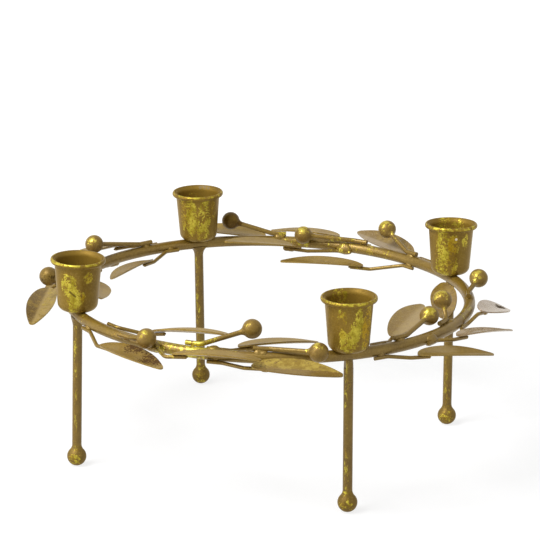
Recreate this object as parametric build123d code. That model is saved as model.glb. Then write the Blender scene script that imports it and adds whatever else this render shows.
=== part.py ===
from build123d import *
import os
from math import atan2, cos, degrees, radians, sin, sqrt, tan

# A painted metal wreath for four candles: a round rod ring on four ball-footed legs,
# with leaf and berry sprigs welded along it, all pointing the same way round.
# Millimetres, +Z up. The origin is on the ring's axis at floor level, and the cups
# stand on the X and Y axes.

# Ring
ring_radius = 107.0  # from the axis to the rod's centre
ring_rod_diameter = 6.0
ring_height = 84.0  # from the floor to the rod's centre
weld_depth = 0.3  # how far a cup's floor is let down over the rod
weld_gap = 0.1  # between a wire and what it is welded along

# Cups
cup_rim_diameter = 28.6
cup_flare_width = 2.1  # from the wall out to the rim
cup_taper = 2.0  # how far the wall leans in on its way down
cup_height = 28.0
cup_wall = 0.9
cup_corner_radius = 4.0
cup_flare_height = 2.6
cup_rim_height = 2.4
cup_rim_thickness = 1.7

# Legs and feet
leg_diameter = 5.0
leg_weld_height = 4.0
foot_diameter = 10.2
foot_neck_radius = 4.5
# Each leg's weld swells or necks in by hand, as a share of the leg's diameter
leg_weld_shares = {"left": 1.6, "front": 0.8, "right": 0.8, "back": 2.2}
# Each leg, with its cup and foot, leans forward round the ring by this share of its height
post_lean_shares = {"left": 0.021, "front": -0.021, "right": 0.035, "back": 0.031}

# Leaves, which fill the ring whatever its size
leaf_length_share = 0.452  # of the ring's radius
leaf_width_share = 0.292  # of the leaf's length
leaf_lap_share = 0.15  # stem under the blade, of the leaf's length
leaf_belly_share = 0.46  # widest point along the blade
leaf_tip_share = 0.035  # radius of the blunt tip, of the leaf's length
leaf_bow_share = 8.5  # radius of the blade's bow, of the leaf's length
leaf_sheet_share = 1.2  # folded sheet before the blade is cut from it
leaf_thickness = 0.8
leaf_fold = 14.0  # degrees that each half rises from the midrib
leaf_rib_share = 0.25  # radius of the soft fold at the midrib, of the leaf's length
leaf_stem_diameter = 2.0

# Berries, sized to the ring as well
berry_share = 0.0935  # of the ring's radius
berry_neck_radius = 3.0
berry_stem_diameter = 2.6

# Stems
tack_share = 0.075  # stretch welded along the ring, of the ring's radius
bend_radius_share = 2.0  # of the wire's diameter

# Sprigs, for each quarter of the ring, counted from the cup that it starts at.
sprig_reach_share = 0.0935  # usual distance from the rod's centre, of the ring's radius
# Leaf: turn and side of the weld, turn, reach and lift of the blade's base, and the
# blade's swing outwards, climb and twist. Turns and tilts are degrees, sides go from
# 0 outside by 90 on top to 180 inside, and reach and lift are shares of the usual reach.
leaf_shares = {
    "front_left": [
        (10, -40, 22, 1.0, -0.45, 1, 2, 3),
        (18, 145, 28, -1.5, -0.05, -12, 10, -12),
        (36, 0, 44, 1.0, -0.05, -6, 6, -8),
        (53, 155, 59, -1.1, 0, -39, -2, -8),
        (54, -45, 64, 1.0, -0.25, 12, 3, 13),
    ],
    "front_right": [
        (10, 150, 18, -1.0, 0.05, -27, 8, 10),
        (9, -45, 18, 1.0, -0.4, 10, -5, 3),
        (27, -15, 34, 1.0, -0.15, 7, -6, -8),
        (40, 165, 47, -0.8, -0.15, -20, 10, -10),
        (44, -20, 52, 0.8, 0.18, 7, -11, 18),
    ],
    "back_right": [
        (16, 20, 24, 1.0, -0.1, 5, 6, -16),
        (20, -130, 34, -1.25, -0.7, -33, 5, 0),
        (39, 20, 48, 1.0, 0.1, 14, -2, 6),
        (44, -150, 57, -1.3, -0.1, -31, 12, 0),
        (61, 0, 69, 1.0, -0.15, 19, 3, -8),
    ],
    "back_left": [
        (10, 200, 22, -1.2, -0.33, -21, 5, 15),
        (15, 20, 22, 1.0, 0.1, -4, 4, 12),
        (31, -60, 39, 1.0, -0.5, -6, -2, 0),
        (44, 200, 51.5, -0.8, -0.35, -24, 8, -25),
        (56, 10, 64, 1.1, -0.25, 3, -4, -5),
    ],
}
# Berry: turn and side of the weld, and turn, reach and lift of the ball's centre
berry_shares = {
    "front_left": [(27, 35, 36, 0.8, 0.6), (47, 118, 63, -1.2, 1.1), (66, 100, 80.5, 0.8, 0.5)],
    "front_right": [(17, 110, 32.5, -0.6, 0.85), (37, 120, 43, -0.8, 1.2), (65, 100, 73.5, 0.6, 0.85)],
    "back_right": [(20, 90, 32, 0.6, 1.25), (39, 95, 57, -0.6, 0.6), (65, 90, 79.5, 0.4, 1.1)],
    "back_left": [(18.5, 90, 38.5, 0.4, 1.1), (46, 110, 56, -0.4, 0.9), (68, 50, 72.5, 1.0, 1.1)],
}

# Worked out from the sizes above
up = Vector(0, 0, 1)
ring_rod_radius = ring_rod_diameter / 2
leg_radius = leg_diameter / 2
leaf_length = ring_radius * leaf_length_share
leaf_lap_length = leaf_length * leaf_lap_share
leaf_bow_radius = leaf_length * leaf_bow_share
berry_radius = ring_radius * berry_share / 2
sprig_reach = ring_radius * sprig_reach_share
tack_length = ring_radius * tack_share
# The straight tack of a wire stands off the bent rod by the rod's bow over its length
tack_bow = tack_length**2 / (8 * (ring_radius - ring_rod_radius))
places = ["right", "back", "left", "front"]
quarters = ["back_right", "back_left", "front_left", "front_right"]
quarter_turn = 360 / len(quarters)


def ring_frame(angle):
    """Outward and forward directions at this angle round the ring."""
    out = Vector(cos(radians(angle)), sin(radians(angle)), 0)
    return out, up.cross(out)


def ring_place(angle):
    """The rod's centre at this angle round the ring."""
    out, along = ring_frame(angle)
    return out * ring_radius + up * ring_height


def post_plane(angle, lean_share):
    """Where a post crosses the ring: X points outwards and Z up along the post."""
    out, along = ring_frame(angle)
    return Plane(ring_place(angle), x_dir=out, z_dir=up + along * lean_share)


def wreath_ring():
    return Pos(0, 0, ring_height) * Torus(ring_radius, ring_rod_radius)


def candle_cup(post, ring):
    """A tapered cup with a rounded floor edge, whose wall flares into a rolled rim."""
    wall_top = cup_height - cup_flare_height
    rim_centre_radius = (cup_rim_diameter - cup_rim_thickness) / 2
    rim_centre_height = cup_height - cup_rim_height / 2
    top_radius = cup_rim_diameter / 2 - cup_flare_width
    floor_radius = top_radius - cup_taper
    outer_wall = FilletPolyline(
        (0, 0), (floor_radius, 0), (top_radius, wall_top), radius=cup_corner_radius
    )
    inner_wall = FilletPolyline(
        (top_radius - cup_wall, wall_top),
        (floor_radius - cup_wall, cup_wall),
        (0, cup_wall),
        radius=cup_corner_radius - cup_wall,
    )
    lean = (top_radius - floor_radius, wall_top)
    outer_flare = TangentArc((top_radius, wall_top), (rim_centre_radius, rim_centre_height), tangent=lean)
    inner_flare_end = (rim_centre_radius - cup_wall, rim_centre_height + cup_wall)
    inner_flare = TangentArc((top_radius - cup_wall, wall_top), inner_flare_end, tangent=lean)
    lip = Line(outer_flare @ 1, inner_flare @ 1)
    axis_line = Line((0, cup_wall), (0, 0))
    section = make_face([outer_wall, outer_flare, lip, inner_flare, inner_wall, axis_line])
    rim = Pos(rim_centre_radius, rim_centre_height) * Ellipse(cup_rim_thickness / 2, cup_rim_height / 2)
    cup = revolve(Plane.XZ * (section + rim), axis=Axis.Z)
    return post * Pos(0, 0, ring_rod_radius - weld_depth) * cup - ring


def ball_neck_length(ball_radius, rod_radius, neck_radius):
    """From the ball's centre to the place where its neck becomes the rod."""
    return sqrt((ball_radius + neck_radius) ** 2 - (rod_radius + neck_radius) ** 2)


def necked_ball(ball_radius, rod_radius, neck_radius):
    """A ball centred on the origin, drawn into a neck that meets a rod along +Z."""
    neck_end = ball_neck_length(ball_radius, rod_radius, neck_radius)
    neck_centre_radius = rod_radius + neck_radius
    slope = degrees(atan2(neck_end, neck_centre_radius))
    ball_arc = CenterArc((0, 0), ball_radius, -90, 90 + slope)
    neck_arc = CenterArc((neck_centre_radius, neck_end), neck_radius, 180 + slope, -slope)
    top_line = Line((rod_radius, neck_end), (0, neck_end))
    axis_line = Line((0, neck_end), (0, -ball_radius))
    return revolve(Plane.XZ * make_face([ball_arc, neck_arc, top_line, axis_line]), axis=Axis.Z)


def foot_depth(post):
    """From the ring down along a post to the centre of its ball foot."""
    return (ring_height - foot_diameter / 2) / post.z_dir.Z


def ball_foot(post):
    foot = necked_ball(foot_diameter / 2, leg_radius, foot_neck_radius)
    return post * Pos(0, 0, -foot_depth(post)) * foot


def leg(post, weld_share, ring):
    """A rod from the foot's neck up to the ring, with its weld coped round the ring."""
    bottom = ball_neck_length(foot_diameter / 2, leg_radius, foot_neck_radius) - foot_depth(post)
    weld_top = -ring_rod_radius / 2
    weld_bottom = -ring_rod_radius - leg_weld_height
    weld_radius = leg_radius * weld_share
    side = TangentArc((leg_radius, weld_bottom), (weld_radius, weld_top), tangent=(0, 1))
    rest = Polyline(side @ 1, (0, weld_top), (0, weld_bottom), side @ 0)
    weld = revolve(Plane.XZ * make_face([side, rest]), axis=Axis.Z)
    slab_height = 2 * (weld_top - weld_bottom)
    weld &= Pos(0, 0, weld_top) * Box(ring_rod_diameter, 2 * weld_radius, slab_height)
    rod_length = weld_bottom - bottom
    rod = Pos(0, 0, bottom + rod_length / 2) * Cylinder(leg_radius, rod_length)
    return post * (rod + weld) - ring


def leaf_blade():
    """A blade along +X from its base, cut from a sheet folded at the midrib and bowed."""
    half_width = leaf_length * leaf_width_share / 2
    belly = leaf_length * leaf_belly_share
    base_arc = EllipticalCenterArc((belly, 0), belly, half_width, 90, arc_size=90)
    tip_arc = TangentArc((belly, half_width), (leaf_length, 0), tangent=(1, 0))
    half_outline = [base_arc, tip_arc]
    other_half = [mirror(edge, about=Plane.XZ) for edge in half_outline]
    outline = make_face(half_outline + other_half)
    tip = outline.vertices().sort_by(Axis.X)[-1]
    outline = fillet(tip, radius=leaf_length * leaf_tip_share)
    sheet_half = half_width * leaf_sheet_share
    rise = sheet_half * tan(radians(leaf_fold))
    chevron = Polyline(
        (0, 0),
        (sheet_half, rise),
        (sheet_half, rise + leaf_thickness),
        (0, leaf_thickness),
        (-sheet_half, rise + leaf_thickness),
        (-sheet_half, rise),
        close=True,
    )
    section = make_face(chevron)
    midrib = section.vertices().filter_by_position(Axis.X, 0, 0)
    rib_radius = leaf_length * leaf_rib_share
    rib_drop = rib_radius * (1 / cos(radians(leaf_fold)) - 1)  # keeps the rounded midrib on its stem
    section = Pos(0, -rib_drop) * fillet(midrib, radius=rib_radius)
    bow_axis = Axis((0, 0, -leaf_bow_radius), (0, 1, 0))
    bow_angle = degrees(leaf_length * leaf_sheet_share / leaf_bow_radius)
    sheet = revolve(Plane.YZ * section, axis=bow_axis, revolution_arc=bow_angle)
    spare_angle = bow_angle * (1 - 1 / leaf_sheet_share) / 2
    sheet = sheet.rotate(bow_axis, -spare_angle)
    return sheet & extrude(outline, amount=leaf_length, both=True)


def tack_ends(angle, side, wire_radius):
    """The two ends of the stretch of a stem that is welded along the ring."""
    out, along = ring_frame(angle)
    seat = ring_rod_radius + wire_radius + weld_gap + tack_bow
    middle = ring_place(angle)
    middle += out * (seat * cos(radians(side))) + up * (seat * sin(radians(side)))
    return middle - along * (tack_length / 2), middle + along * (tack_length / 2)


def off_ring(angle, reach_share, lift_share):
    """A place beside the ring, in shares of the usual reach."""
    out, along = ring_frame(angle)
    return ring_place(angle) + (out * reach_share + up * lift_share) * sprig_reach


def stem_wire(points, wire_radius):
    path = FilletPolyline(*points, radius=wire_radius * 2 * bend_radius_share)
    return sweep(Plane(points[0], z_dir=points[1] - points[0]) * Circle(wire_radius), path=path)


def leaf_sprig(quarter_angle, shares, blade):
    """One leaf: its blade, and the stem that runs from the ring to under the blade."""
    weld_turn, side, turn, reach_share, lift_share, swing, climb, twist = shares
    wire_radius = leaf_stem_diameter / 2
    start, corner = tack_ends(quarter_angle + weld_turn, side, wire_radius)
    base = off_ring(quarter_angle + turn, reach_share, lift_share)
    out, along = ring_frame(quarter_angle + turn)
    level = along * cos(radians(swing)) + out * sin(radians(swing))
    heading = level * cos(radians(climb)) + up * sin(radians(climb))
    normal = (up - heading * heading.dot(up)).normalized().rotate(Axis((0, 0, 0), heading), twist)
    lap_bow = leaf_lap_length**2 / (2 * leaf_bow_radius)
    seat = base + normal * (wire_radius + weld_gap + lap_bow)
    leaf = Plane(seat, x_dir=heading, z_dir=normal) * blade
    bend = base - heading * leaf_stem_diameter * bend_radius_share
    stem = stem_wire([start, corner, bend, base + heading * leaf_lap_length], wire_radius)
    return leaf, stem


def berry_sprig(quarter_angle, shares, ball):
    """One berry: a ball drawn into a neck, on the end of a stem."""
    weld_turn, side, turn, reach_share, lift_share = shares
    wire_radius = berry_stem_diameter / 2
    start, corner = tack_ends(quarter_angle + weld_turn, side, wire_radius)
    centre = off_ring(quarter_angle + turn, reach_share, lift_share)
    heading = (centre - corner).normalized()
    neck = centre - heading * ball_neck_length(berry_radius, wire_radius, berry_neck_radius)
    berry = Plane(centre, z_dir=-heading) * ball
    return berry, stem_wire([start, corner, neck], wire_radius)


def holder_nodes():
    ring = wreath_ring()
    nodes = {"wreath_ring": ring}
    for number, place in enumerate(places):
        post = post_plane(number * quarter_turn, post_lean_shares[place])
        nodes[f"cup_{place}"] = candle_cup(post, ring)
        nodes[f"leg_{place}"] = leg(post, leg_weld_shares[place], ring)
        nodes[f"foot_{place}"] = ball_foot(post)
    blade = leaf_blade()
    ball = necked_ball(berry_radius, berry_stem_diameter / 2, berry_neck_radius)
    for number, quarter in enumerate(quarters):
        angle = number * quarter_turn
        leaf_stems = []
        for count, shares in enumerate(leaf_shares[quarter], start=1):
            leaf, stem = leaf_sprig(angle, shares, blade)
            nodes[f"leaf_{quarter}_{count}"] = leaf
            leaf_stems.append(stem)
        nodes[f"leaf_stems_{quarter}"] = Compound(children=leaf_stems)
        berry_stems = []
        for count, shares in enumerate(berry_shares[quarter], start=1):
            berry, stem = berry_sprig(angle, shares, ball)
            nodes[f"berry_{quarter}_{count}"] = berry
            berry_stems.append(stem)
        nodes[f"berry_stems_{quarter}"] = Compound(children=berry_stems)
    return nodes


os.makedirs("parts", exist_ok=True)
for name, shape in holder_nodes().items():
    export_step(shape, f"parts/{name}.step")
    print(name, len(shape.solids()), "solids", round(shape.volume), "mm3")
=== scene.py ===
import math

import bmesh
import bpy
from mathutils import Matrix, Vector, noise


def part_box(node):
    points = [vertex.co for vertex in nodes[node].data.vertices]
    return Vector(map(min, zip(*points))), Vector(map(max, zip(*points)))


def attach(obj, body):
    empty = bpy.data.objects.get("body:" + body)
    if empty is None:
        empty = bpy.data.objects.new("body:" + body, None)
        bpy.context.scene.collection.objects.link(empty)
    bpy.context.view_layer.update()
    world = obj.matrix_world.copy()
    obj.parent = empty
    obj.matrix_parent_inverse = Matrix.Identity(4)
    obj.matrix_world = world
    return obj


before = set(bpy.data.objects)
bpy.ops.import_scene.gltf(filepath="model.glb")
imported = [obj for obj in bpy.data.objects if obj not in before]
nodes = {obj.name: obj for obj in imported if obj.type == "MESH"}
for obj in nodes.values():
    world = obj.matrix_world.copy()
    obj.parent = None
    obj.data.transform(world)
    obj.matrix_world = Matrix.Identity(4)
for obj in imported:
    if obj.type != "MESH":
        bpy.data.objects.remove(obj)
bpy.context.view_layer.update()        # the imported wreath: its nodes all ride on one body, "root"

print("wreath loaded:", len(nodes), "nodes")


# Shader maths: a Wire holds one socket, and sums of Wires add Math nodes
class Wire:
    def __init__(self, tree, socket=None):
        self.tree = tree
        self.socket = socket

    def node(self, kind, settings=None, sockets=None, output=0):
        made = self.tree.nodes.new(kind)
        for key, value in (settings or {}).items():
            setattr(made, key, value)
        for key, value in (sockets or {}).items():
            if isinstance(value, Wire):
                self.tree.links.new(value.socket, made.inputs[key])
            else:
                made.inputs[key].default_value = value
        return Wire(self.tree, made.outputs[output] if made.outputs else None)

    def maths(self, operation, first, second=0.0):
        return self.node("ShaderNodeMath", {"operation": operation}, {0: first, 1: second})

    def __add__(self, other):
        return self.maths("ADD", self, other)

    def __radd__(self, other):
        return self.maths("ADD", other, self)

    def __sub__(self, other):
        return self.maths("SUBTRACT", self, other)

    def __rsub__(self, other):
        return self.maths("SUBTRACT", other, self)

    def __mul__(self, other):
        return self.maths("MULTIPLY", self, other)

    def __rmul__(self, other):
        return self.maths("MULTIPLY", other, self)

    def step(self, low, high):
        return self.node(
            "ShaderNodeMapRange",
            {"interpolation_type": "SMOOTHSTEP"},
            {"Value": self, "From Min": low, "From Max": high},
        )

    def mix(self, first, second):  # this Wire is the share of the second colour
        return self.node("ShaderNodeMix", {"data_type": "RGBA"}, {0: self, 6: first, 7: second}, 2)

    def noise(self, scale, detail=3.0, rough=0.5):  # this Wire is the place on the surface
        return self.node(
            "ShaderNodeTexNoise",
            None,
            {"Vector": self, "Scale": scale, "Detail": detail, "Roughness": rough},
        )

    def vectorMaths(self, operation, other, output=0):
        return self.node("ShaderNodeVectorMath", {"operation": operation}, {0: self, 1: other}, output)

    def flakes(self, size):  # one random number for each torn scrap of about this size
        ragged = {"Vector": self, "Scale": 3 / size, "Detail": 3.0}  # three waves along a scrap's edge
        waves = self.node("ShaderNodeTexNoise", None, ragged, "Color")
        shift = self.node("ShaderNodeVectorMath", {"operation": "SCALE"}, {0: waves, "Scale": size})
        cells = {"Vector": self.vectorMaths("ADD", shift), "Scale": 1 / size}
        return self.node("ShaderNodeTexVoronoi", None, cells, "Color").part(0)

    def stretched(self, x, y, z):
        return self.vectorMaths("MULTIPLY", (x, y, z))

    def measuredFrom(self, point):
        return self.vectorMaths("SUBTRACT", point)

    def part(self, axis):  # one coordinate of a vector
        return self.node("ShaderNodeSeparateXYZ", None, {0: self}, axis)

    def along(self, direction):  # how far a vector goes that way
        return self.vectorMaths("DOT_PRODUCT", direction, "Value")

    def length(self):
        return self.node("ShaderNodeVectorMath", {"operation": "LENGTH"}, {0: self}, "Value")

    def facing(self, direction, bothSides):  # 1 where the surface looks that way or, if both, away
        share = self.node("ShaderNodeNewGeometry", None, None, "Normal").along(direction)
        return self.maths("ABSOLUTE", share) if bothSides else share


def paint(red, green, blue):  # screen values to the linear ones that a socket takes
    def linear(value):
        share = value / 255
        return share / 12.92 if share < 0.04045 else ((share + 0.055) / 1.055) ** 2.4

    return (linear(red), linear(green), linear(blue), 1.0)


def newFinish(name):
    material = bpy.data.materials.new(name)
    material.use_nodes = True
    material.node_tree.nodes.clear()
    return material, Wire(material.node_tree)


def closeFinish(start, colour, rough, metal, height, shine):
    bump = start.node("ShaderNodeBump", None, {"Distance": shine["depth"], "Height": height})
    shader = start.node(
        "ShaderNodeBsdfPrincipled",
        None,
        {
            "Base Color": colour,
            "Roughness": rough,
            "Metallic": metal,
            "Normal": bump,
            "Specular IOR Level": shine["level"],
            "Specular Tint": shine["tint"],
        },
    )
    start.node("ShaderNodeOutputMaterial", None, {"Surface": shader})


# Antique gold paint, the ground of every piece, and how it shines
groundPaint = {
    "deep": paint(98, 73, 22),
    "middle": paint(128, 102, 38),
    "pale": paint(158, 133, 68),
    "warm": paint(136, 110, 34),
    # a cup's inward wall takes this slightly lighter tone: painted light
    "inner": paint(136, 108, 38),
    "mottleScale": 60.0,
    "mottleRange": (0.32, 0.7),
    "mottleShare": 0.55,
    "warmScale": 210.0,
    "warmRange": (0.46, 0.62),
    "warmShare": 0.3,
    "grainScale": 1100.0,
    "grainRange": (0.45, 0.75),
    "grainShare": 0.35,
    "grainRough": 0.2,
    "pitScale": 460.0,
    "pitFrom": 0.62,
    "pitSoft": 0.1,
    "pitShare": 0.4,
    "pitRough": 0.12,
    # how much of a cup's inward wall takes the lighter inside tone, a painted light, and how much of
    # the slope under its rim takes the deep tone, a painted shade
    "insideLightShare": 0.85,
    "innerRough": 0.18,
    "flareShadeShare": 0.35,
    "rough": 0.34,
    "metal": 0.38,
}
satinShine = {"depth": 0.00008, "level": 0.3, "tint": paint(255, 236, 190)}
rodShine = {"depth": 0.00008, "level": 0.55, "tint": paint(255, 250, 240)}
ballShine = dict(satinShine, depth=0.00003)
goldLeaf = {
    "deep": paint(138, 120, 26),
    "bright": paint(196, 180, 66),
    "amber": paint(170, 133, 18),
    "crinkleScale": 520.0,
    "crinkleShare": 0.6,
    "foldScale": 130.0,
    "foldStretch": 0.6,
    "foldShare": 0.5,
    "creaseRange": (0.42, 0.66),
    "borderRange": (-0.16, 0.02),
    "borderShare": 0.4,
    "tornRange": (0.0, 0.07),
    "metal": 0.2,
    "smooth": 0.04,
}
relief = {"leaf": 0.5, "grain": 0.3, "pits": 0.5, "mottle": 0.3, "crinkle": 0.5}  # shares of the bump


def ground(place, look):
    mottle = place.noise(look["mottleScale"], detail=4.0, rough=0.55).step(*look["mottleRange"])
    grain = place.noise(look["grainScale"], detail=2.0, rough=0.6)
    pits = place.noise(look["pitScale"], detail=4.0, rough=0.65)
    pits = pits.step(look["pitFrom"], look["pitFrom"] + look["pitSoft"])
    warmth = place.noise(look["warmScale"], detail=4.0, rough=0.65).step(*look["warmRange"])
    colour = (mottle * look["mottleShare"]).mix(look["middle"], look["deep"])
    colour = (warmth * look["warmShare"]).mix(colour, look["warm"])
    colour = (grain.step(*look["grainRange"]) * look["grainShare"]).mix(colour, look["pale"])
    colour = (pits * look["pitShare"]).mix(colour, look["deep"])
    return colour, grain, mottle, pits


# The leaf is torn where its thickness falls to nothing, with an amber border where it is thin
def gilded(place, colour, thickness, tone, look):
    crinkle = place.noise(look["crinkleScale"], detail=5.0, rough=0.7)
    drawn = place.stretched(1.0, 1.0, look["foldStretch"])
    fold = drawn.noise(look["foldScale"], detail=4.0, rough=0.6)
    creases = crinkle * look["crinkleShare"] + fold * look["foldShare"]
    leaf = creases.step(*look["creaseRange"]).mix(look["deep"], look["bright"])
    border = thickness.step(*look["borderRange"])
    whole = thickness.step(*look["tornRange"])
    if tone:
        leaf = tone.mix(leaf, look["amber"])
    colour = (border * look["borderShare"]).mix(colour, look["amber"])
    return whole.mix(colour, leaf), whole, crinkle


# Stains and scratches: places and reaches in millimetres
stainLook = {"edge": (0.2, 0.4), "grimeScale": 600.0}


def scratch(first, last, reach, count):  # spots in a row
    shares = (step / (count - 1) for step in range(count))
    return [tuple(Vector(first).lerp(Vector(last), share)) + (reach,) for share in shares]


def nearness(place, x, y, z, reach):  # 1 at a point and 0 at its reach
    return 1 - place.measuredFrom((x / 1000, y / 1000, z / 1000)).length() * (1000 / reach)


def marked(place, colour, marks):
    grimeScale = marks.get("grimeScale", stainLook["grimeScale"])
    grime = place.noise(grimeScale, detail=5.0, rough=0.7) - 0.5
    stain = 0.0
    for spot in marks["spots"]:
        near = nearness(place, *spot) + grime * marks["broken"]
        stain = place.maths("MAXIMUM", stain, near.step(*stainLook["edge"]))
    return (stain * marks["share"]).mix(colour, marks["colour"]), stain


def beyond(place, edge):  # how far past a straight edge, given by a point in millimetres
    return place.measuredFrom(Vector(edge["at"]) / 1000).along(edge["across"])


def paintedFinish(
    name,
    thicknessOf,
    look=groundPaint,
    shine=satinShine,
    leaf=goldLeaf,
    marks=None,
    insideLightAndShadeOf=None,
    paintedLightHalf=None,
):
    material, start = newFinish(name)
    place = start.node("ShaderNodeTexCoord", None, None, "Object")
    colour, grain, mottle, pits = ground(place, look)
    rough = look["rough"] + (grain - 0.5) * look["grainRough"] + pits * look["pitRough"]
    if insideLightAndShadeOf:  # the inside of a cup painted a slightly lighter tone, a painted light, and the slope under its rim darkened, a painted shade
        inward, flare = insideLightAndShadeOf(start, place)
        colour = (inward * (1 - flare) * look["insideLightShare"]).mix(colour, look["inner"])
        colour = (inward * flare * look["flareShadeShare"]).mix(colour, look["deep"])
        rough = rough + inward * look["innerRough"]
    if paintedLightHalf:  # one half of a folded blade painted paler: painted light on that half of the fold
        soft = paintedLightHalf["soft"]
        share = beyond(place, paintedLightHalf).step(-soft, soft) * paintedLightHalf["share"]
        colour = share.mix(colour, look["pale"])
    thickness, tone = thicknessOf(start, place)
    colour, whole, crinkle = gilded(place, colour, thickness, tone, leaf)
    rough = rough - whole * leaf["smooth"]
    if marks:
        colour, stain = marked(place, colour, marks)
        rough = rough + stain * marks["matt"]
    metal = look["metal"] + whole * leaf["metal"]
    height = whole * relief["leaf"] + grain * relief["grain"] - pits * relief["pits"]
    height = height + mottle * relief["mottle"] + crinkle * whole * relief["crinkle"]
    closeFinish(start, colour, rough, metal, height, shine)
    return material


# Flecks of gold leaf left on rods and wires, most on the side that faces the lamps, which makes the
# lit side brighter: painted light in part
rodTears = {"share": 0.5, "driftScale": 60.0, "goldSideShare": 0.3, "patchSlope": 0.7}
rodLooks = {
    "frame": {
        "look": groundPaint,
        "scrap": 0.0017,
        "fleck": 0.0007,
        "stretch": 0.35,
        "drift": 1.3,
        "cover": -0.72,
        # left and up, toward the lamps: more bright gold where the light falls, painted light in part
        "goldSide": Vector((-0.80, 0.10, 0.45)),
        "bothSides": False,
        "goldSideRange": (-0.2, 0.9),
        "patches": [  # larger scraps: place and reach in millimetres, and cover
            (-81, -73, 86, 8, 0.05), (-70, -80, 88, 8, 0.08), (77, 65, 87, 11, -0.2),
            (88, 55, 87, 7, -0.22), (-90, 55, 85, 7, -0.1), (55, 92, 88, 7, 0.0),
            (84, -66, 86, 7, -0.15),
        ],
    },
    "leg": {
        "look": dict(
            groundPaint,
            deep=paint(90, 66, 18),
            middle=paint(116, 91, 32),
            pale=paint(144, 120, 58),
        ),
        "scrap": 0.0012,
        "fleck": 0.0005,
        "stretch": 0.35,
        "drift": 0.8,
        "cover": -0.5,
        # front left, between the lamp and the camera, and the side opposite: more bright gold on the
        # lamp's side, painted light in part
        "goldSide": Vector((-0.74, -0.67, 0.0)),
        "bothSides": True,
        "goldSideRange": (0.8, 1.0),
        "patches": [],
    },
}


def rodThickness(choice):
    def thicknessOf(start, place):
        drawn = place.stretched(1.0, 1.0, choice["stretch"])
        scraps = (drawn.flakes(choice["scrap"]) - 0.5) * rodTears["share"]
        flecks = (drawn.flakes(choice["fleck"]) - 0.5) * rodTears["share"]
        drift = (place.noise(rodTears["driftScale"], detail=4.0, rough=0.6) - 0.5) * choice["drift"]
        tear = scraps + flecks + drift
        onGoldSide = start.facing(choice["goldSide"], choice["bothSides"]).step(*choice["goldSideRange"])
        thickness = tear + onGoldSide * rodTears["goldSideShare"] + choice["cover"]
        for x, y, z, reach, cover in choice["patches"]:
            near = nearness(place, x, y, z, reach) * rodTears["patchSlope"]
            thickness = start.maths("MAXIMUM", thickness, start.maths("MINIMUM", near, cover) + tear)
        return thickness, None

    return thicknessOf


# Berries have the leaf on their upper sides, gathered round where their highlight falls: real gilding,
# a painted highlight in part; feet keep flecks in front and behind
ballPaint = dict(
    groundPaint,
    deep=paint(98, 75, 32),
    middle=paint(129, 104, 54),
    rough=0.4,
    metal=0.25,
)
ballLeaf = dict(
    goldLeaf,
    deep=paint(156, 136, 42),
    bright=paint(200, 182, 78),
    amber=paint(150, 118, 40),
    smooth=0.1,
)
berryLook = {
    "look": ballPaint,
    "leaf": ballLeaf,
    "cover": -0.3,
    "scrap": 0.0026,
    "scrapShare": 0.45,
    "fleck": 0.0008,
    "fleckShare": 0.3,
    "wideScale": 130.0,
    "wideShare": 0.9,
    "goldSideShare": 0.9,
    "goldSideFrom": 0.65,
    # upward and toward the lamp and the camera, where the highlight lies: painted highlight in part
    "goldSide": Vector((-0.5, -0.4, 0.75)).normalized(),
    "bothSides": False,
}
ballLooks = {
    "plain": berryLook,
    "gilded": dict(berryLook, cover=-0.13),
    "bright": dict(berryLook, cover=0.0),
    "bare": dict(berryLook, cover=-0.42),
    "dark": dict(
        berryLook,
        cover=-0.45,
        look=dict(
            ballPaint,
            deep=paint(70, 48, 12),
            middle=paint(98, 71, 20),
            pale=paint(130, 104, 44),
        ),
    ),
    "pitted": dict(
        berryLook,
        cover=-0.4,
        look=dict(ballPaint, pitScale=420.0, pitFrom=0.53, pitShare=0.9, deep=paint(66, 48, 18)),
    ),
    "foot": dict(
        berryLook,
        cover=-0.27,
        look=dict(groundPaint, middle=paint(117, 95, 46), rough=0.5),
        leaf=goldLeaf,
        scrap=0.0014,
        scrapShare=0.55,
        fleck=0.0006,
        fleckShare=0.45,
        wideShare=0.6,
        goldSide=Vector((-0.5, -0.85, -0.15)).normalized(),
        bothSides=True,
    ),
}


def ballThickness(choice):
    def thicknessOf(start, place):
        scraps = (place.flakes(choice["scrap"]) - 0.5) * choice["scrapShare"]
        flecks = (place.flakes(choice["fleck"]) - 0.5) * choice["fleckShare"]
        wide = (place.noise(choice["wideScale"], detail=2.0, rough=0.5) - 0.5) * choice["wideShare"]
        side = start.facing(choice["goldSide"], choice["bothSides"])
        onGoldSide = side * choice["goldSideShare"] - choice["goldSideFrom"]
        return onGoldSide + choice["cover"] + scraps + flecks + wide, None

    return thicknessOf


# Leaves: sandy paint with a few scraps of gold; single leaves are stained, paler or darker,
# or have one half of the fold painted paler, which is painted light on that half
sandyPaint = dict(
    groundPaint,
    deep=paint(116, 90, 36),
    middle=paint(143, 116, 54),
    pale=paint(176, 151, 90),
    warm=paint(154, 126, 44),
    warmShare=0.55,
    grainScale=1500.0,
    grainShare=0.5,
    rough=0.36,
    metal=0.25,
)
palePaint = dict(
    sandyPaint,
    middle=paint(176, 157, 138),
    pale=paint(200, 187, 174),
    warmShare=0.2,
    rough=0.25,
)
bladeLeaf = dict(
    goldLeaf,
    deep=paint(138, 112, 40),
    bright=paint(176, 152, 68),
    amber=paint(140, 110, 40),
)
bladeTears = {
    "scrap": 0.0028,
    "scrapShare": 0.4,
    "fleck": 0.0008,
    "fleckShare": 0.55,
    "wideScale": 80.0,
    "wideShare": 1.1,
    "tornShare": 0.7,
}
leafShine = {"depth": 0.0001, "level": 0.5, "tint": paint(255, 246, 226)}
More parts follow.
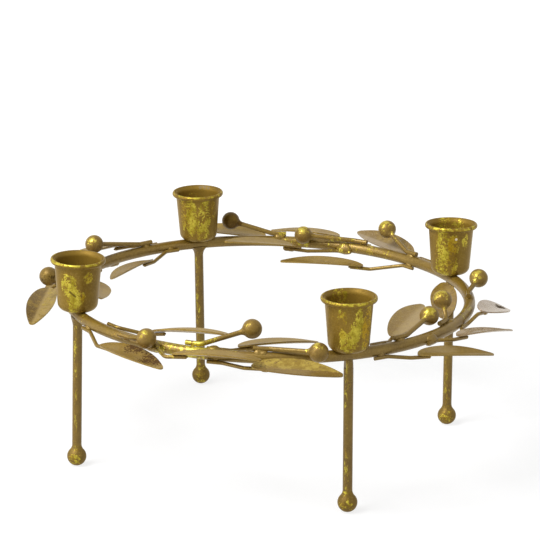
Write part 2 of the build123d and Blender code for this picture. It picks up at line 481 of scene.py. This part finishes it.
leafLooks = {
    "sandy": {"cover": -0.56, "look": sandyPaint},
    "golden": {  # its gold ends along a torn line
        "cover": -0.4,
        "look": dict(sandyPaint, middle=paint(122, 96, 40), deep=paint(104, 80, 30), warmShare=0.2),
        "torn": {"at": (-33.9, -120.6, 84), "across": Vector((0.516, 0.857, 0)), "soft": 0.0015},
    },
    "stained": {
        "cover": -0.6,
        "look": sandyPaint,
        "marks": {
            "colour": paint(66, 39, 6),
            "share": 0.92,
            "matt": 0.5,
            "broken": 5.2,
            "grimeScale": 900.0,
            "spots": [
                (-92.8, -75, 82, 6), (-92, -79.5, 81.5, 5), (-96.5, -76.5, 81, 4.5),
                (-96.5, -59, 83, 5.5), (-95.3, -63, 83, 4),
            ],
        },
    },
    "pale": {"cover": -0.5, "look": dict(palePaint, middle=paint(174, 151, 118))},
    # one half of its fold painted paler: painted light
    "creased": {
        "cover": -0.5,
        "look": dict(sandyPaint, middle=paint(138, 110, 48), pale=paint(182, 161, 116)),
        "paintedLightHalf": {
            "at": (46.3, -76, 88),
            "across": Vector((0.712, -0.702, 0)),
            "soft": 0.001,
            "share": 0.3,
        },
    },
    # one half of its fold painted paler than the other: painted light on that half
    "foldLit": {
        "cover": -0.5,
        "look": dict(sandyPaint, middle=paint(130, 103, 44), pale=paint(182, 165, 140)),
        "paintedLightHalf": {
            "at": (97.5, 68.9, 85.5),
            "across": Vector((-0.952, -0.306, 0)),
            "soft": 0.001,
            "share": 0.45,
        },
    },
    "tawny": {
        "cover": -0.5,
        "look": dict(
            sandyPaint,
            deep=paint(92, 66, 20),
            middle=paint(130, 101, 40),
            pitFrom=0.57,
            pitShare=0.7,
        ),
    },
    "ashen": {
        "cover": -0.6,
        "look": dict(sandyPaint, middle=paint(152, 131, 92), deep=paint(128, 106, 66)),
    },
    # a pale blade with a dark slit: the slit's dark is painted shade where it opens through the blade
    "slit": {
        "cover": -0.5,
        "look": palePaint,
        "marks": {
            "colour": paint(56, 41, 23),
            "share": 0.92,
            "matt": 0.75,
            "broken": 1.6,
            "spots": scratch((111.7, -49.5, 80.9), (117.6, -45.3, 78.4), 2.1, 5)
            + scratch((113.3, -46.3, 80.5), (118.4, -42.7, 78.2), 2.1, 5),
        },
    },
    # a darker ground with one half of the fold painted much paler: painted shade and painted light
    # across the fold; its gold lies on the paler half
    "dull": {
        "cover": -0.7,
        "look": dict(sandyPaint, middle=paint(108, 84, 36), deep=paint(90, 68, 28), metal=0.4),
        "shine": dict(leafShine, level=0.2),
        "paintedLightHalf": {
            "at": (-120, 26.8, 80),
            "across": Vector((0.876, -0.483, 0)),
            "soft": 0.001,
            "share": 0.75,
        },
        "torn": {"at": (-120, 26.8, 80), "across": Vector((0.876, -0.483, 0)), "soft": 0.002},
    },
}


def leafThickness(choice):
    def thicknessOf(start, place):
        scraps = (place.flakes(bladeTears["scrap"]) - 0.5) * bladeTears["scrapShare"]
        flecks = (place.flakes(bladeTears["fleck"]) - 0.5) * bladeTears["fleckShare"]
        wide = place.noise(bladeTears["wideScale"], detail=3.0, rough=0.6) - 0.5
        thickness = scraps + flecks + wide * bladeTears["wideShare"] + choice["cover"]
        if "torn" in choice:
            soft = choice["torn"]["soft"]
            golden = beyond(place, choice["torn"]).step(-soft, soft)
            thickness = thickness * bladeTears["tornShare"] + golden - 0.5
        return thickness, None

    return thicknessOf


# Cups: each patch of leaf by its angle round the cup, its half width, its heights, its cover,
# and how far its gold turns to amber
cupPatches = {
    "back": [
        (231, 15, 0.19, 0.88, 0.12, 0), (269, 18, 0.1, 0.88, 0.08, 0),
        (206, 9, 0.3, 0.92, 0.0, 0.4), (298, 9, 0.5, 0.85, -0.1, 0.6),
        (80, 26, 0.2, 0.8, -0.2, 0.2), (18, 20, 0.12, 0.66, 0.14, 0.2),
        (122, 24, 0.16, 0.7, 0.2, 0),
    ],
    "right": [
        (223, 20, 0.0, 0.92, 0.02, 0), (252, 15, 0.46, 0.86, 0.1, 0.6),
        (247, 14, 0.05, 0.5, -0.02, 0.3), (285, 9, 0.56, 0.88, -0.06, 0.1),
        (66, 34, 0.62, 1.0, -0.08, 0.1), (10, 14, 0.3, 0.72, 0.0, 0.4),
        (138, 24, 0.1, 0.7, 0.18, 0.1), (80, 17, 0.05, 0.5, 0.1, 0),
    ],
    "front": [
        (274, 11, 0.42, 0.86, 0.3, 0), (265, 14, 0.14, 0.68, 0.36, 0),
        (245, 19, 0.07, 0.4, 0.22, 0), (300, 15, 0.08, 0.9, 0.14, 0.75),
        (232, 8, 0.3, 0.46, 0.1, 0.3), (230, 9, 0.42, 0.86, -0.22, 0.3),
        (92, 20, 0.6, 0.98, -0.12, 0.2), (50, 26, 0.14, 0.7, 0.2, 0),
        (142, 16, 0.26, 0.72, 0.02, 0.5),
    ],
    "left": [
        (226, 20, 0.36, 0.76, 0.1, 0), (243, 15, 0.08, 0.54, 0.42, 0),
        (281, 11, 0.6, 0.8, 0.06, 0.4), (233, 10, 0.0, 0.14, 0.05, 0),
        (265, 6, 0.26, 0.42, -0.1, 0.6), (60, 24, 0.2, 0.64, -0.1, 0.2),
        (98, 22, 0.08, 0.56, 0.2, 0.1), (4, 15, 0.24, 0.7, 0.05, 0.4),
    ],
}
cupTears = {
    "scrap": 0.0019,
    "scrapShare": 0.5,
    "stretch": 0.6,
    "fleck": 0.0007,
    "fleckShare": 0.55,
    "driftScale": 220.0,
    "driftShare": 1.1,
    "bare": 0.66,  # how far the gold lies below the paint outside the patches
    "wallShare": 0.86,  # the wall's radius against the rim's
    "patchSlope": 0.7,
    "patchSide": 4.0,  # keeps a patch on its own side of the cup
    "patchFloor": -2.0,
    "amberRange": (-0.1, 0.3),
    "rimHeight": 0.0014,
    "rimWidth": 0.0014,
    "rimCover": 0.1,
    "rimTear": 0.7,
    "rimSide": math.radians(236),  # the rim's gold fades away from this side, the front a little to the left, where the rim's highlight line lies: real gold, a painted highlight in part
    "rimFade": 0.26,
    "flareHeight": 0.0026,
    "inwardSoft": 0.006,
}
cupMarks = {  # spots as on the leaves: rubbed nicks, a scratch, and a small near-white spot
    "back": {
        "colour": paint(150, 132, 98),
        "share": 0.7,
        "matt": 0.3,
        "broken": 3.0,
        "spots": [(4.7, 117.5, 114.0, 1.4), (6.4, 116.4, 114.0, 1.6), (8.4, 114.4, 113.9, 1.2)],
    },
    "left": {
        "colour": paint(84, 66, 24),
        "share": 0.85,
        "matt": 0.2,
        "broken": 0.3,
        "spots": scratch((-114.1, -8.9, 99.2), (-111.6, -10.2, 96.8), 0.8, 6),
    },
    "right": {
        "colour": paint(226, 216, 196),
        "share": 0.9,
        "matt": 0.0,
        "broken": 0.4,
        "spots": [(104.6, -10.8, 108.6, 1.0)],
    },
}


def cupSizes(node):  # the middle of a cup's floor, its height and its rim's radius
    low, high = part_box(node)
    middle = Vector(((low.x + high.x) / 2, (low.y + high.y) / 2, low.z))
    return middle, high.z - low.z, (high.x - low.x) / 2


def cupThickness(node, patches):
    middle, tall, rimRadius = cupSizes(node)
    wallRadius = rimRadius * cupTears["wallShare"]
    rimTurn = cupTears["rimSide"]

    def thicknessOf(start, place):
        local = place.measuredFrom(middle)
        x, y = local.part(0), local.part(1)
        share = local.part(2) * (1 / tall)
        leaning = place.stretched(1.0, 1.0, cupTears["stretch"])
        scraps = leaning.flakes(cupTears["scrap"]) - 0.5
        flecks = place.flakes(cupTears["fleck"]) - 0.5
        drift = place.noise(cupTears["driftScale"], detail=5.0, rough=0.65) - 0.5
        tear = scraps * cupTears["scrapShare"] + flecks * cupTears["fleckShare"]
        tear = tear + drift * cupTears["driftShare"]
        thickness = tear - cupTears["bare"]
        tone = 0.0
        for angle, halfWidth, bottom, top, cover, amber in patches:
            turn, half = math.radians(angle), math.radians(halfWidth)
            outward = x * (math.cos(turn) / wallRadius) + y * (math.sin(turn) / wallRadius)
            across = (y * math.cos(turn) - x * math.sin(turn)) * (1 / (wallRadius * math.sin(half)))
            upright = (share - (bottom + top) / 2) * (2 / (top - bottom))
            away = across * across + upright * upright
            inside = start.maths("MINIMUM", 1 - away, outward * cupTears["patchSide"])
            inside = start.maths("MAXIMUM", inside * cupTears["patchSlope"], cupTears["patchFloor"])
            patch = start.maths("MINIMUM", inside, cover) + tear
            thickness = start.maths("MAXIMUM", thickness, patch)
            if amber:
                tone = start.maths("MAXIMUM", tone, inside.step(*cupTears["amberRange"]) * amber)
        radius = local.stretched(1.0, 1.0, 0.0).length()
        outward = radius * 1000 - (rimRadius - cupTears["rimWidth"]) * 1000  # in millimetres
        raised = local.part(2) * 1000 - (tall - cupTears["rimHeight"]) * 1000
        rim = start.maths("MINIMUM", start.maths("MINIMUM", outward, raised), cupTears["rimCover"])
        # the rim's gold is strongest on the front and fades round the cup: a painted highlight line in
        # part
        side = x * (math.cos(rimTurn) / rimRadius) + y * (math.sin(rimTurn) / rimRadius)
        rim = rim + tear * cupTears["rimTear"] + (side - 1) * cupTears["rimFade"]
        return start.maths("MAXIMUM", thickness, rim), tone

    return thicknessOf


def cupInsideLightAndShade(node):  # where a cup's wall looks inward, for its painted light, and the slope under its rim, for its painted shade
    middle, tall, _ = cupSizes(node)

    def insideLightAndShadeOf(start, place):
        normal = start.node("ShaderNodeNewGeometry", None, None, "Normal")
        local = place.measuredFrom(middle)
        turned = normal.along(local.stretched(1.0, 1.0, 0.0))
        inward = 1 - turned.step(-cupTears["inwardSoft"], 0.0)
        return inward, local.part(2).step(tall - cupTears["flareHeight"], tall)

    return insideLightAndShadeOf


frameGold, legGold = (
    paintedFinish(kind + "Gold", rodThickness(choice), choice["look"], rodShine)
    for kind, choice in rodLooks.items()
)
ballGold = {
    kind: paintedFinish(
        "ballGold." + kind,
        ballThickness(choice),
        choice["look"],
        ballShine,
        choice["leaf"],
    )
    for kind, choice in ballLooks.items()
}
leafGold = {
    kind: paintedFinish(
        "leafGold." + kind,
        leafThickness(choice),
        choice["look"],
        choice.get("shine", leafShine),
        bladeLeaf,
        choice.get("marks"),
        paintedLightHalf=choice.get("paintedLightHalf"),
    )
    for kind, choice in leafLooks.items()
}
cupGold = {
    place: paintedFinish(
        "cupGold." + place,
        cupThickness("cup_" + place, patches),
        marks=cupMarks.get(place),
        insideLightAndShadeOf=cupInsideLightAndShade("cup_" + place),
    )
    for place, patches in cupPatches.items()
}
kindOf = {
    "leaf_front_left_5": "golden",
    "leaf_front_left_1": "stained",
    "leaf_front_right_3": "pale",
    "leaf_front_right_5": "slit",
    "leaf_front_right_1": "creased",
    "leaf_front_right_4": "tawny",
    "leaf_back_right_1": "foldLit",
    "leaf_back_left_1": "ashen",
    "leaf_back_left_5": "dull",
    "berry_front_right_1": "gilded",
    "berry_front_right_2": "gilded",
    "berry_front_right_3": "gilded",
    "berry_back_right_1": "bright",
    "berry_back_right_2": "gilded",
    "berry_front_left_2": "bare",
    "berry_back_right_3": "dark",
    "berry_back_left_3": "pitted",
}


def finishOf(name):
    if name.startswith("cup_"):
        return cupGold[name.split("_")[1]]
    if "stems" in name:
        return frameGold
    if name.startswith("foot_") or name.startswith("berry_"):
        return ballGold[kindOf.get(name, "foot" if name.startswith("foot_") else "plain")]
    if name.startswith("leaf_"):
        return leafGold[kindOf.get(name, "sandy")]
    return legGold if name.startswith("leg_") else frameGold


for name, piece in nodes.items():
    for slot in piece.material_slots:
        slot.material = finishOf(name)
print("finishes set")


# Weld beads: lumps of metal where each stem lies along the ring, and where it ends under its blade
weldBead = {
    "tack": 0.0080,
    "reach": 0.0035,
    "ring": (0.0042, 0.0030, 0.0022),  # half length, half width and half height
    "blade": (0.0030, 0.0017, 0.0014),
    "sink": 0.0002,
    "lump": 0.0007,
    "lumpScale": 330.0,
    "fineShare": 0.4,
    "fineRatio": 2.7,
    "spread": 0.5,
    "seedStep": 1.7,
    "facets": 3,
    "startReach": 0.0030,
    "ahead": 0.0015,
    "tipReach": 0.0025,
    "tipApart": 0.0030,
    "tipPoints": 12,
    "sameSpot": 1e-6,
}
ringLow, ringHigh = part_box("wreath_ring")
rodRadius = (ringHigh.z - ringLow.z) / 2
ringRadius = (ringHigh.x - ringLow.x) / 2 - rodRadius
ringHeight = (ringHigh.z + ringLow.z) / 2


def wiresOf(node):  # the wires of a stems node, each as its points
    mesh = bmesh.new()
    mesh.from_mesh(nodes[node].data)
    bmesh.ops.remove_doubles(mesh, verts=mesh.verts, dist=weldBead["sameSpot"])
    seen, wires = set(), []
    for vert in mesh.verts:
        if vert in seen:
            continue
        seen.add(vert)
        waiting, points = [vert], []
        while waiting:
            here = waiting.pop()
            points.append(here.co.copy())
            for edge in here.link_edges:
                other = edge.other_vert(here)
                if other not in seen:
                    seen.add(other)
                    waiting.append(other)
        wires.append(points)
    mesh.free()
    return wires


def ringPoint(point):  # the nearest point of the ring's centre line
    out = Vector((point.x, point.y, 0)).normalized()
    return out * ringRadius + Vector((0, 0, ringHeight))


def average(points):
    return sum(points, Vector()) / len(points)


def turnFrom(first, point):  # how far round the ring one point lies from another
    return math.atan2(first.x * point.y - first.y * point.x, first.x * point.x + first.y * point.y)


def addBead(mesh, centre, along, toward, sizes, number, bend):  # bend 1 hugs the rod, 0 is straight
    across = along.cross(toward)
    seed = Vector((number * weldBead["seedStep"], 0.5, 0.5))
    grown = 1 + weldBead["spread"] * (noise.cell(seed) - 0.5)
    made = bmesh.ops.create_icosphere(mesh, subdivisions=weldBead["facets"], radius=1.0)
    for vert in made["verts"]:
        length, width, height = (part * half * grown for part, half in zip(vert.co, sizes))
        height -= bend * width * width / (2 * rodRadius)
        place = centre + along * length + across * width + toward * height
        lump = noise.noise(place * weldBead["lumpScale"])
        fine = noise.noise(place * weldBead["lumpScale"] * weldBead["fineRatio"])
        lump += weldBead["fineShare"] * fine
        vert.co = place + (place - centre).normalized() * lump * weldBead["lump"]


def makeBeads(quarter):
    mesh = bmesh.new()
    leafWires, berryWires = wiresOf("leaf_stems_" + quarter), wiresOf("berry_stems_" + quarter)
    leafStems = len(leafWires)
    for number, points in enumerate(leafWires + berryWires):
        first = average(points)
        close = [p for p in points if (p - ringPoint(p)).length < rodRadius + weldBead["reach"]]
        start = min(turnFrom(first, p) for p in close)
        tackEnd = start + weldBead["tack"] / ringRadius
        startEnd = start + weldBead["startReach"] / ringRadius
        tack = [p for p in close if turnFrom(first, p) < tackEnd]
        middle = (average([p for p in tack if turnFrom(first, p) < startEnd]) + average(tack)) / 2
        seat = ringPoint(middle)
        toward = (middle - seat).normalized()
        along = Vector((-seat.y, seat.x, 0)).normalized()
        centre = seat + along * weldBead["ahead"] + toward * (rodRadius - weldBead["sink"])
        addBead(mesh, centre, along, toward, weldBead["ring"], number, bend=1.0)
        if number < leafStems:  # the far end of a leaf's stem
            end = max(points, key=lambda p: turnFrom(first, p))
            tip = average([p for p in points if (p - end).length < weldBead["tipReach"]])
            apart = [p for p in points if (p - tip).length > weldBead["tipApart"]]
            apart.sort(key=lambda p: (p - tip).length)
            heading = (tip - average(apart[: weldBead["tipPoints"]])).normalized()
            upright = (Vector((0, 0, 1)) - heading * heading.z).normalized()
            addBead(mesh, tip, heading, upright, weldBead["blade"], number + 0.5, bend=0.0)
    bead = bpy.data.meshes.new("weldBeads." + quarter)
    for face in mesh.faces:
        face.smooth = True
    mesh.to_mesh(bead)
    mesh.free()
    piece = bpy.data.objects.new("weldBeads." + quarter, bead)
    bpy.context.scene.collection.objects.link(piece)
    bead.materials.append(frameGold)
    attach(piece, "root")


for quarter in ("back_right", "back_left", "front_left", "front_right"):
    makeBeads(quarter)
print("weld beads made")


# Floor and light
studio = {
    "floorRadius": 6.0,
    "floorSides": 96,
    "floorDark": 0.7,
    "floorPale": 0.74,
    "floorScale": 3.0,
    "glowNear": 0.8,
    "glowFar": 1.0,
    "glowReach": (0.25, 0.7),
    "floorShade": 0.25,
    "skyLight": 0.3,
    "keyPlace": (-0.77, 0.51, 1.25),
    "keyPower": 22.0,
    "keySize": 0.7,
    "sidePlace": (-1.3, 0.5, 0.35),
    "sidePower": 8.0,
    "sideSize": 1.0,
    "fillPlace": (1.2, 0.8, 0.7),
    "fillPower": 2.0,
    "fillSize": 1.2,
}


def grey(level):
    return (level, level, level, 1.0)


def seenDirectly(start):
    names = ("Is Camera Ray", "Is Glossy Ray", "Is Transmission Ray")
    ways = [start.node("ShaderNodeLightPath", None, None, name) for name in names]
    return start.maths("MINIMUM", ways[0] + ways[1] + ways[2], 1.0)


def makeFloor():
    mesh = bpy.data.meshes.new("floor")
    disc = bmesh.new()
    sides, radius = studio["floorSides"], studio["floorRadius"]
    bmesh.ops.create_circle(disc, cap_ends=True, segments=sides, radius=radius)
    disc.to_mesh(mesh)
    disc.free()
    floor = bpy.data.objects.new("floor", mesh)
    bpy.context.scene.collection.objects.link(floor)
    material, start = newFinish("paperFloor")
    place = start.node("ShaderNodeTexCoord", None, None, "Object")
    mottle = place.noise(studio["floorScale"])
    tint = mottle.mix(grey(studio["floorDark"]), grey(studio["floorPale"]))
    lit = start.node("ShaderNodeBsdfDiffuse", None, {"Color": tint})
    shade = start.node("ShaderNodeBsdfDiffuse", None, {"Color": grey(studio["floorShade"])})
    reached = place.length().step(*studio["glowReach"])
    white = reached.mix(grey(studio["glowNear"]), grey(studio["glowFar"]))
    glow = start.node("ShaderNodeEmission", None, {"Color": white})
    seen = start.node("ShaderNodeAddShader", None, {0: shade, 1: glow})
    both = start.node("ShaderNodeMixShader", None, {0: seenDirectly(start), 1: lit, 2: seen})
    start.node("ShaderNodeOutputMaterial", None, {"Surface": both})
    mesh.materials.append(material)


def makeSky():
    sky = bpy.data.worlds.new("studioSky")
    sky.use_nodes = True
    sky.node_tree.nodes.clear()
    start = Wire(sky.node_tree)
    soft, white = (
        start.node("ShaderNodeBackground", None, {"Color": grey(1.0), "Strength": level})
        for level in (studio["skyLight"], 1.0)
    )
    both = start.node("ShaderNodeMixShader", None, {0: seenDirectly(start), 1: soft, 2: white})
    start.node("ShaderNodeOutputWorld", None, {"Surface": both})
    bpy.context.scene.world = sky


def makeLamp(name):
    across, nearer, above = studio[name + "Place"]  # as the camera sees it: right, nearer, up
    lamp = bpy.data.lights.new(name + "Lamp", "AREA")
    lamp.energy = studio[name + "Power"]
    lamp.size = studio[name + "Size"]
    lampObject = bpy.data.objects.new(name + "Lamp", lamp)
    lampObject.location = right * across + front * nearer + Vector((0, 0, above))
    lampObject.rotation_mode = "QUATERNION"
    lampObject.rotation_quaternion = lampObject.location.to_track_quat("Z", "Y")
    bpy.context.scene.collection.objects.link(lampObject)


# Camera: turn and rise in degrees, the rest in metres and millimetres of lens
cameraView = {
    "turn": -22.229,
    "rise": 16.355,
    "roll": 1.147,
    "distance": 1.45746,
    "aimAcross": 0.000387,
    "aimHeight": 0.09803,
    "lens": 182.54,
    "sensor": 36.0,
}


def viewAxes():
    turn, rise = math.radians(cameraView["turn"]), math.radians(cameraView["rise"])
    level = math.cos(rise)
    right = Vector((math.cos(turn), math.sin(turn), 0))
    back = Vector((math.sin(turn) * level, -math.cos(turn) * level, math.sin(rise)))
    return right, back.cross(right), back


def makeCamera():
    right, up, back = viewAxes()
    roll = math.radians(cameraView["roll"])
    lensData = bpy.data.cameras.new("camera")
    lensData.lens = cameraView["lens"]
    lensData.sensor_width = cameraView["sensor"]
    camera = bpy.data.objects.new("camera", lensData)
    aim = right * cameraView["aimAcross"] + Vector((0, 0, cameraView["aimHeight"]))
    across = right * math.cos(roll) + up * math.sin(roll)
    upright = up * math.cos(roll) - right * math.sin(roll)
    turned = Matrix((across, upright, back)).transposed().to_4x4()
    camera.matrix_world = Matrix.Translation(aim + back * cameraView["distance"]) @ turned
    bpy.context.scene.collection.objects.link(camera)
    bpy.context.scene.camera = camera


right, back = viewAxes()[::2]
front = Vector((back.x, back.y, 0)).normalized()
makeFloor()
makeSky()
makeLamp("key")
makeLamp("side")
makeLamp("fill")
makeCamera()
bpy.context.scene.view_settings.view_transform = "Standard"
print("studio set")
